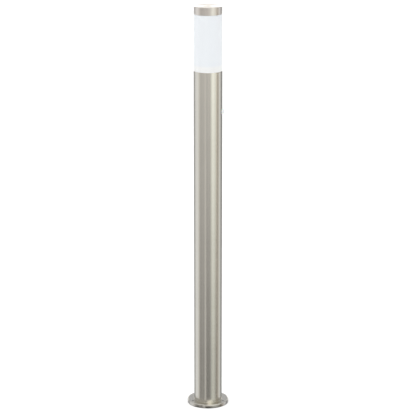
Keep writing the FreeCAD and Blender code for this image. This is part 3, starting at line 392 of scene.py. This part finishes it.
def draw_outline(name, points, closed=True):
    """A new mesh holding an outline in the XZ plane, drawn by extruding one point along (radius, height)."""
    select_none()
    bpy.ops.mesh.primitive_plane_add(size=MM, location=(0, 0, 0))
    piece = bpy.context.object
    piece.name = piece.data.name = name
    bpy.ops.object.mode_set(mode="EDIT")
    bpy.ops.mesh.select_all(action="SELECT")
    bpy.ops.mesh.merge(type="CENTER")
    first = points[0]
    bpy.ops.transform.translate(value=(first[0], 0, first[1]))
    for before, after in zip(points, points[1:]):
        step = (after[0] - before[0], 0, after[1] - before[1])
        bpy.ops.mesh.extrude_vertices_move(TRANSFORM_OT_translate={"value": step})
    if closed:
        bpy.ops.object.mode_set(mode="OBJECT")
        ends = (0, len(points) - 1)
        for vertex in piece.data.vertices:
            vertex.select = vertex.index in ends
        for edge in piece.data.edges:
            edge.select = False
        bpy.ops.object.mode_set(mode="EDIT")
        bpy.ops.mesh.select_mode(type="VERT")
        bpy.ops.mesh.edge_face_add()
    bpy.ops.mesh.select_all(action="SELECT")
    return piece


def lathe(name, points, steps):
    """A closed ring turned from an outline of (radius, height) points about the post's axis."""
    piece = draw_outline(name, points)
    bpy.ops.mesh.spin(steps=steps, angle=math.tau, center=(0, 0, 0), axis=(0, 0, 1))
    bpy.ops.mesh.select_all(action="SELECT")
    bpy.ops.mesh.remove_doubles(threshold=0.002 * MM)
    bpy.ops.mesh.normals_make_consistent(inside=False)
    bpy.ops.object.mode_set(mode="OBJECT")
    return piece


def rolled_thread(name, crest, root, low, high, pitch, wall):
    """A rolled sheet thread: a wave turned up the axis, trimmed flat at both ends and given its thickness."""
    middle, swing = (crest + root) / 2, (crest - root) / 2
    waves = 10
    points = [(middle + swing * math.cos(math.tau * step / waves), low - pitch * (1 - step / waves))
              for step in range(waves + 1)]
    piece = draw_outline(name, points, closed=False)
    bpy.ops.object.mode_set(mode="OBJECT")
    turns = piece.modifiers.new("turns", "SCREW")
    turns.steps = turns.render_steps = THREAD_STEPS
    turns.screw_offset = pitch
    turns.iterations = math.ceil((high - low) / pitch) + 2
    turns.use_merge_vertices = False
    bpy.ops.object.modifier_apply(modifier=turns.name)
    bpy.ops.object.mode_set(mode="EDIT")
    bpy.ops.mesh.select_all(action="SELECT")
    bpy.ops.mesh.remove_doubles(threshold=0.01 * MM)
    for level, normal in ((low, (0, 0, -1)), (high, (0, 0, 1))):
        bpy.ops.mesh.select_all(action="SELECT")
        bpy.ops.mesh.bisect(plane_co=(0, 0, level), plane_no=normal, clear_outer=True)
    bpy.ops.mesh.select_all(action="SELECT")
    bpy.ops.mesh.normals_make_consistent(inside=False)
    bpy.ops.object.mode_set(mode="OBJECT")
    sheet = piece.modifiers.new("sheet", "SOLIDIFY")
    sheet.thickness = wall
    sheet.offset = -1
    bpy.ops.object.modifier_apply(modifier=sheet.name)
    return piece


def settle(piece, body, material_name, replaced=()):
    """Smooth a finished piece, give it its material and hang it on its body."""
    select_none()
    piece.select_set(True)
    bpy.context.view_layer.objects.active = piece
    bpy.ops.object.shade_smooth_by_angle(angle=math.radians(35))
    piece.data.materials.clear()
    piece.data.materials.append(MATERIALS[material_name])
    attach(piece, body)
    if replaced:
        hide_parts(*replaced)
    select_none()


# ---------------------------------------------------------------------------------------------------------
# Studio
# ---------------------------------------------------------------------------------------------------------
# The studio as polished steel sees it: bearing in degrees from the camera's side towards the post's right,
# then the brightness over eye height, at eye height and near the floor. A broad soft box stands on the left
# and a narrow bright one on the right, with a black flag behind it. A third hangs high in front, over dark
# stands.
STUDIO_WALLS = [
    (-180, 0.60, 0.50, 0.50), (-160, 0.60, 0.50, 0.50), (-146, 0.60, 0.44, 0.44), (-134, 0.60, 0.44, 0.44),
    (-120, 0.60, 0.92, 1.00), (-104, 0.55, 0.96, 0.96), (-90, 0.50, 1.00, 0.86), (-80, 0.45, 0.96, 0.56),
    (-68, 0.40, 0.86, 0.14), (-58, 0.40, 0.80, 0.16), (-48, 0.40, 0.82, 0.28), (-39, 0.40, 0.88, 0.12),
    (-31, 0.40, 0.86, 0.18), (-22, 0.40, 0.84, 0.80), (-13, 0.44, 0.86, 0.10), (-5, 0.90, 0.88, 0.04),
    (3, 1.60, 1.06, 0.02), (12, 1.70, 0.89, 0.04), (21, 1.70, 1.00, 0.14), (29, 1.30, 1.44, 0.30),
    (38, 0.70, 1.74, 0.38), (47, 0.40, 1.60, 0.44), (56, 0.40, 1.42, 0.40), (67, 0.40, 1.34, 0.18),
    (75, 0.40, 0.96, 0.10), (86, 0.45, 0.40, 0.36), (99, 0.50, 0.90, 0.68), (113, 0.55, 1.00, 0.90),
    (123, 0.60, 0.56, 0.60), (133, 0.60, 0.26, 0.30), (146, 0.60, 0.36, 0.40), (165, 0.60, 0.50, 0.50)]

# a colour ramp holds no more than 1.0, so the walls are painted at this share of their brightness and the
# light is raised to match
RAMP_SHARE = 0.5
SWEEP_LEVEL = (1.50, 1.50, 1.50, 1.0)
CEILING_SEEN = (0.42, 0.42, 0.42, 1.0)
CEILING_CAST = (0.85, 0.85, 0.85, 1.0)
PAPER_WHITE = (1.0, 1.0, 1.0, 1.0)
SOFT_BOX_HEIGHT, SOFT_BOX_SIZE = 3.4, 4.0
SENSOR_WIDTH_MM = 36
# where one part of the room fades into the next: heights as the sine of the angle over the horizon, and the
# sweep's edge as the cosine of the angle from straight behind the post
STANDS_FADE = {"From Min": -0.20, "From Max": -0.32}
HIGH_WALLS_FADE = {"From Min": 0.18, "From Max": 0.30}
CEILING_FADE = {"From Min": 0.55, "From Max": 0.85}
SWEEP_FADE = {"From Min": 0.6, "From Max": 0.9}


def studio_world(level):
    """The studio round the post: what the camera sees, what polish mirrors and what lights matt surfaces."""
    world = bpy.data.worlds.new("studio")
    world.use_nodes = True
    tree = world.node_tree
    tree.nodes.clear()
    ray = add_node(tree, "ShaderNodeTexCoord").outputs["Generated"]
    parts = add_node(tree, "ShaderNodeSeparateXYZ", {"Vector": ray})
    toward = add_node(tree, "ShaderNodeMath", {0: parts.outputs["Y"], 1: -1.0}, operation="MULTIPLY")
    bearing = add_node(tree, "ShaderNodeMath", {0: parts.outputs["X"], 1: toward.outputs[0]},
                       operation="ARCTAN2")
    turn = add_node(tree, "ShaderNodeMapRange", {"Value": bearing.outputs[0], "From Min": -math.pi,
                                                 "From Max": math.pi})
    bands = []
    for band in (1, 2, 3):
        stops = [((wall[0] + 180) / 360, wall[band] * RAMP_SHARE) for wall in STUDIO_WALLS]
        bands.append(add_node(tree, "ShaderNodeValToRGB", {"Fac": turn.outputs[0]}, stops=stops))
    high_walls, eye_walls, low_walls = (ramp.outputs["Color"] for ramp in bands)
    height = parts.outputs["Z"]
    drop = add_node(tree, "ShaderNodeMapRange", {"Value": height, **STANDS_FADE})
    rise = add_node(tree, "ShaderNodeMapRange", {"Value": height, **HIGH_WALLS_FADE})
    lower = add_node(tree, "ShaderNodeMix", {"Factor": drop.outputs[0], "A": eye_walls, "B": low_walls},
                     data_type="RGBA")
    walls = add_node(tree, "ShaderNodeMix", {"Factor": rise.outputs[0], "A": lower.outputs["Result"],
                                             "B": high_walls}, data_type="RGBA")
    # cloth and paint tint the walls: cool behind, rose in front on the left, straw and amber on the right
    cool, rose = (0.985, 1.0, 1.05, 1.0), (1.012, 0.995, 1.005, 1.0)
    straw, amber = (0.985, 1.005, 0.985, 1.0), (1.05, 0.99, 0.92, 1.0)
    tint = add_node(tree, "ShaderNodeValToRGB", {"Fac": turn.outputs[0]},
                    stops=[(0.22, cool), (0.28, rose), (0.53, rose), (0.58, straw), (0.67, straw),
                           (0.70, amber), (0.75, amber), (0.80, cool)])
    walls = add_node(tree, "ShaderNodeMix", {"Factor": 1.0, "A": walls.outputs["Result"],
                                             "B": tint.outputs["Color"]},
                     data_type="RGBA", blend_type="MULTIPLY")
    # a bright paper sweep hangs behind the post, and the ceiling is one large soft box
    behind = add_node(tree, "ShaderNodeMapRange", {"Value": parts.outputs["Y"], **SWEEP_FADE})
    sweep = add_node(tree, "ShaderNodeValToRGB", {"Fac": height},
                     stops=[(0.0, 0.0), (0.04, 1.0), (0.18, 1.0), (0.26, 0.0)])
    hung = add_node(tree, "ShaderNodeMath", {0: behind.outputs[0], 1: sweep.outputs[0]},
                    operation="MULTIPLY")
    backed = add_node(tree, "ShaderNodeMix", {"Factor": hung.outputs[0], "A": walls.outputs["Result"],
                                              "B": SWEEP_LEVEL}, data_type="RGBA")
    ceiling = add_node(tree, "ShaderNodeMapRange", {"Value": height, **CEILING_FADE})
    mirrored = add_node(tree, "ShaderNodeMix", {"Factor": ceiling.outputs[0], "A": backed.outputs["Result"],
                                                "B": CEILING_SEEN}, data_type="RGBA")
    # matt surfaces are lit by the same room as one soft dome, a little stronger from the left
    side = add_node(tree, "ShaderNodeMapRange", {"Value": parts.outputs["X"], "From Min": -1.0,
                                                 "From Max": 1.0, "To Min": 0.44, "To Max": 0.34})
    soft = add_node(tree, "ShaderNodeMix", {"Factor": ceiling.outputs[0], "A": side.outputs[0],
                                            "B": CEILING_CAST}, data_type="RGBA")
    seen = add_node(tree, "ShaderNodeLightPath")
    dome = add_node(tree, "ShaderNodeMix", {"Factor": seen.outputs["Is Glossy Ray"],
                                            "A": soft.outputs["Result"], "B": mirrored.outputs["Result"]},
                    data_type="RGBA")
    room = add_node(tree, "ShaderNodeBackground", {"Color": dome.outputs["Result"],
                                                   "Strength": level / RAMP_SHARE})
    paper = add_node(tree, "ShaderNodeBackground", {"Color": PAPER_WHITE, "Strength": 1.0})
    both = add_node(tree, "ShaderNodeMixShader", {0: seen.outputs["Is Camera Ray"], 1: room.outputs[0],
                                                  2: paper.outputs[0]})
    add_node(tree, "ShaderNodeOutputWorld", {"Surface": both.outputs[0]})
    return world


# ---------------------------------------------------------------------------------------------------------
# Operators
# ---------------------------------------------------------------------------------------------------------
class BOLLARD_OT_stage(bpy.types.Operator):
    """Lay the pale floor, hang the soft studio light and set the camera"""
    bl_idname = "bollard.stage"
    bl_label = "Stage"

    def execute(self, context):
        settings = context.scene.bollard_stage
        select_none()
        bpy.ops.mesh.primitive_plane_add(size=settings.floor_size, location=(0, 0, 0))
        floor = context.object
        floor.name = "floor"
        floor.visible_glossy = False
        material, tree, shader, place = start_material("matt painted studio floor")
        colour, _ = wavering(tree, place, settings.floor_colour, 0.004, 0.7)
        set_shader(tree, shader, {"Base Color": colour, "Roughness": 0.95, "Specular IOR Level": 0.1})
        floor.data.materials.append(material)
        context.scene.world = studio_world(settings.dome_level)

        bpy.ops.object.light_add(type="AREA", location=(0, 0, SOFT_BOX_HEIGHT))
        light = context.object
        light.name = "overhead_soft_box"
        light.data.shape = "SQUARE"
        light.data.size = SOFT_BOX_SIZE
        light.data.energy = settings.top_power

        bpy.ops.object.camera_add()
        camera = context.object
        camera.name = "camera"
        camera.location = (0, -settings.camera_distance, settings.camera_height)
        aim = Vector((0, 0, settings.aim_height))
        camera.rotation_euler = (aim - camera.location).to_track_quat("-Z", "Y").to_euler()
        camera.data.sensor_width = SENSOR_WIDTH_MM
        camera.data.lens = settings.lens
        context.scene.camera = camera
        context.scene.view_settings.view_transform = "Standard"
        return {"FINISHED"}


class BOLLARD_OT_finishes(bpy.types.Operator):
    """Mix every finish once"""
    bl_idname = "bollard.finishes"
    bl_label = "Finishes"

    def execute(self, context):
        colours = context.scene.bollard_colours
        recipes = [
            brushed_round("brushed stainless tube", colours.steel, 0.25, 0.6, 0.9),
            brushed_round("turned stainless flange", "c9c5ba", 0.16, 0.5, 0.7, turned=True),
            brushed_round("brushed stainless cap", "ddd6cb", 0.34, 0.8, 0.9, turned=True),
            rubbery("moulded EPDM rubber", "3a3b3d", 0.75),
            rubbery("soft moulded rubber", "2e2f30", 0.7),
            zinc_sheet("zinc plated sheet", "b3b6b8"),
            plain_metal("bright zinc screws", "bfc2c4", 0.28),
            plain_metal("tempered spring strip", "8f9396", 0.3),
            moulded("white glazed porcelain", "f1efe6", 0.12, 3.0, coat=0.8, bump=0.03),
            plain_metal("turned brass", "d0a94f", 0.3),
            plain_metal("nickel plated brass", "cbc7bc", 0.22),
            moulded("natural moulded polyamide", "e9e6dc", 0.5, 0.5, subsurface=0.1),
            striped_lead("blue extruded PVC", "2a5ca8"),
            striped_lead("brown extruded PVC", "6b4326"),
            striped_lead("black extruded PVC", "242424"),
            striped_lead("green and yellow extruded PVC", "5f9e2b", "e3c72c"),
            moulded("fired black glass", "1d1b1a", 0.15, 1.0),
            moulded("white moulded polycarbonate", "f0efec", 0.35, 0.4, subsurface=0.1),
            opal("opal blown polycarbonate", "f6f5f0", 0.4),
            moulded("white solder mask on aluminium", "e6e7e6", 0.35, 0.5),
            moulded("yellow phosphor", "e7c93c", 0.25, 0.3, coat=0.4),
            circuit("green circuit board", "2f6b3c"),
            moulded("white moulded ABS", "eceded", 0.4, 0.4),
            rubbery("moulded silicone", "e2e3e0", 0.45),
            # its ends take eaebeb, painted light from the white fittings round the cylinder
            opal("opal acrylic cylinder", colours.opal, 0.5, "eaebeb",
                 *(corner.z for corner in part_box("diffuser"))),
            faceted_lens("milky moulded polyethylene", colours.lens, EYE_LEVEL),
            moulded("black moulded ABS", "2b2c2e", 0.5, 0.4, bump=0.2),
            plain_metal("nickel plated can", "bcbfc3", 0.2),
            moulded("coated silicon window", "1b1620", 0.08, 2.0, coat=0.6),
            moulded("clear cast epoxy", "b98f5e", 0.12, 1.0, coat=0.5),
            moulded("blue moulded polyester", "2f63ad", 0.35, 0.5),
            moulded("shrunk PVC sleeve", "23304d", 0.3, 0.6),
            moulded("blue moulded phthalate", "2d6bb6", 0.35, 0.4),
            moulded("cream moulded acetal", "efe9d8", 0.4, 0.3),
        ]
        for material in recipes:
            MATERIALS[material.name] = material
        return {"FINISHED"}


class BOLLARD_OT_foot(bpy.types.Operator):
    """Finish the foot: flange, gasket, cable inlet and the weld round the tube"""
    bl_idname = "bollard.foot"
    bl_label = "Foot"

    def execute(self, context):
        finish_node("base_flange", "turned stainless flange")
        finish_node("base_gasket", "moulded EPDM rubber")
        finish_node("cable_grommet", "soft moulded rubber")
        # a hollow fillet that bites a little into the tube and the flange
        reach, facets = context.scene.bollard_sizes.weld_reach, 6
        root, low = TUBE_RADIUS - 0.05 * MM, FLANGE_TOP - 0.02 * MM
        angles = [math.radians(90 * step / facets) for step in range(facets + 1)]
        fillet = [(TUBE_RADIUS + reach * (1 - math.sin(angle)), FLANGE_TOP + reach * (1 - math.cos(angle)))
                  for angle in angles]
        weld = lathe("foot_weld", [(root, low), *fillet, (root, FLANGE_TOP + reach)], WELD_STEPS)
        settle(weld, "post", "brushed stainless tube")
        return {"FINISHED"}


class BOLLARD_OT_post(bpy.types.Operator):
    """Finish the tube"""
    bl_idname = "bollard.post"
    bl_label = "Post"

    def execute(self, context):
        finish_node("pole_tube", "brushed stainless tube")
        return {"FINISHED"}


class BOLLARD_OT_head(bpy.types.Operator):
    """Finish the head: collar, seals, opal cylinder, cap and its fixings"""
    bl_idname = "bollard.head"
    bl_label = "Head"

    def execute(self, context):
        for node, material_name in (
                ("head_collar", "white moulded ABS"), ("head_seal", "moulded silicone"),
                ("diffuser", "opal acrylic cylinder"), ("top_cap", "brushed stainless cap"),
                ("cap_seal", "moulded silicone"), ("cap_plate", "white moulded ABS"),
                ("cap_studs", "bright zinc screws"), ("cap_washers", "bright zinc screws"),
                ("cap_nuts", "bright zinc screws")):
            finish_node(node, material_name)
        return {"FINISHED"}


class BOLLARD_OT_carrier(bpy.types.Operator):
    """Finish the lamp carrier, its terminals and its leads"""
    bl_idname = "bollard.carrier"
    bl_label = "Carrier"

    def execute(self, context):
        for node, material_name in (
                ("support_ledge", "zinc plated sheet"), ("lamp_plate", "zinc plated sheet"),
                ("terminal_bracket", "zinc plated sheet"), ("plate_screws", "bright zinc screws"),
                ("terminal_block", "natural moulded polyamide"), ("terminal_clamps", "turned brass"),
                ("terminal_screws", "bright zinc screws"), ("block_screws", "bright zinc screws"),
                ("earth_screw", "bright zinc screws"), ("earth_lug", "turned brass"),
                ("earth_nut", "bright zinc screws"), ("lamp_nipple", "bright zinc screws"),
                ("nipple_nut", "bright zinc screws"), ("neutral_lead", "blue extruded PVC"),
                ("switched_lead", "black extruded PVC"), ("earth_lead", "green and yellow extruded PVC"),
                ("sensor_neutral_lead", "blue extruded PVC"), ("sensor_supply_lead", "brown extruded PVC"),
                ("sensor_switched_lead", "black extruded PVC")):
            finish_node(node, material_name)
        return {"FINISHED"}


class BOLLARD_OT_lamp(bpy.types.Operator):
    """Finish the lampholder and the lamp"""
    bl_idname = "bollard.lamp"
    bl_label = "Lamp"

    def execute(self, context):
        for node, material_name in (
                ("lampholder", "white glazed porcelain"),
                ("centre_contact", "turned brass"), ("lamp_contact", "nickel plated brass"),
                ("lamp_insulator", "fired black glass"),
                ("lamp_housing", "white moulded polycarbonate"), ("lamp_globe", "opal blown polycarbonate"),
                ("led_plate", "white solder mask on aluminium"), ("led_chips", "yellow phosphor"),
                ("led_driver", "green circuit board")):
            finish_node(node, material_name)
        sizes = context.scene.bollard_sizes
        # the lamp cap: a threaded sleeve that starts inside the top of a drawn foot
        low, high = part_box("lamp_cap")
        eyelet, foot_low, foot_high, sheet = 9.5 * MM, 11.2 * MM, high.x - 0.1 * MM, 0.4 * MM
        shoulder, top, lap, wall = low.z + 2.0 * MM, low.z + 2.6 * MM, 0.2 * MM, 0.3 * MM
        cap = rolled_thread("lamp_cap_thread", high.x, high.x - sizes.thread_depth, top - lap, high.z,
                            sizes.thread_pitch, wall)
        settle(cap, "lamp", "nickel plated brass", ("lamp_cap",))
        cap_foot = lathe("lamp_cap_foot", [
            (eyelet, low.z), (foot_low, low.z), (foot_high, shoulder), (foot_high, top),
            (foot_high - sheet, top), (foot_low - 0.2 * MM, low.z + sheet), (eyelet, low.z + sheet)],
            LATHE_STEPS)
        settle(cap_foot, "lamp", "nickel plated brass", ("lamp_cap",))
        # the lampholder's shell: a threaded sleeve over a flat ring of the same sheet
        low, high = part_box("lampholder_shell")
        bore, floor_top, depth, wall = 9 * MM, low.z + 0.5 * MM, 0.3 * MM, 0.2 * MM
        shell = rolled_thread("lampholder_thread", high.x, high.x - depth, floor_top, high.z,
                              sizes.thread_pitch, wall)
        settle(shell, "post", "nickel plated brass", ("lampholder_shell",))
        floor = lathe("lampholder_shell_floor",
                      [(bore, low.z), (high.x, low.z), (high.x, floor_top), (bore, floor_top)], LATHE_STEPS)
        settle(floor, "post", "nickel plated brass")
        return {"FINISHED"}


class BOLLARD_OT_sensor(bpy.types.Operator):
    """Finish the motion sensor"""
    bl_idname = "bollard.sensor"
    bl_label = "Sensor"

    def execute(self, context):
        for node, material_name in (
                ("sensor_lens", "milky moulded polyethylene"), ("sensor_seal", "moulded silicone"),
                ("sensor_housing", "black moulded ABS"), ("sensor_lid", "black moulded ABS"),
                ("sensor_spring", "tempered spring strip"), ("sensor_board", "green circuit board"),
                ("motion_detector", "nickel plated can"), ("detector_window", "coated silicon window"),
                ("light_cell", "clear cast epoxy"), ("relay", "blue moulded polyester"),
                ("smoothing_capacitor", "shrunk PVC sleeve")):
            finish_node(node, material_name)
        for name in ("time", "dusk", "range"):
            finish_node(name + "_trimmer", "blue moulded phthalate")
            finish_node(name + "_knob", "cream moulded acetal")
        return {"FINISHED"}


class BOLLARD_PT_panel(bpy.types.Panel):
    """The steps that build the light's looks"""
    bl_label = "Bollard Light"
    bl_space_type = "VIEW_3D"
    bl_region_type = "UI"
    bl_category = "Bollard"

    def draw(self, context):
        for operator in OPERATORS:
            self.layout.operator(operator.bl_idname)
        scene = context.scene
        for group in (scene.bollard_stage, scene.bollard_colours, scene.bollard_sizes):
            for name in group.__annotations__:
                self.layout.prop(group, name)


OPERATORS = (BOLLARD_OT_finishes, BOLLARD_OT_foot, BOLLARD_OT_post, BOLLARD_OT_head, BOLLARD_OT_carrier,
             BOLLARD_OT_lamp, BOLLARD_OT_sensor, BOLLARD_OT_stage)
CLASSES = (BollardStage, BollardColours, BollardSizes, *OPERATORS, BOLLARD_PT_panel)


def register():
    """Add the classes to Blender and their settings to the scene."""
    for item in CLASSES:
        bpy.utils.register_class(item)
    bpy.types.Scene.bollard_stage = bpy.props.PointerProperty(type=BollardStage)
    bpy.types.Scene.bollard_colours = bpy.props.PointerProperty(type=BollardColours)
    bpy.types.Scene.bollard_sizes = bpy.props.PointerProperty(type=BollardSizes)


def unregister():
    """Take the settings and the classes away again."""
    for name in ("bollard_stage", "bollard_colours", "bollard_sizes"):
        delattr(bpy.types.Scene, name)
    for item in reversed(CLASSES):
        bpy.utils.unregister_class(item)


def main():
    """Run every step in order."""
    register()
    for operator in OPERATORS:
        group, name = operator.bl_idname.split(".")
        getattr(getattr(bpy.ops, group), name)()


if __name__ == "__main__":
    main()
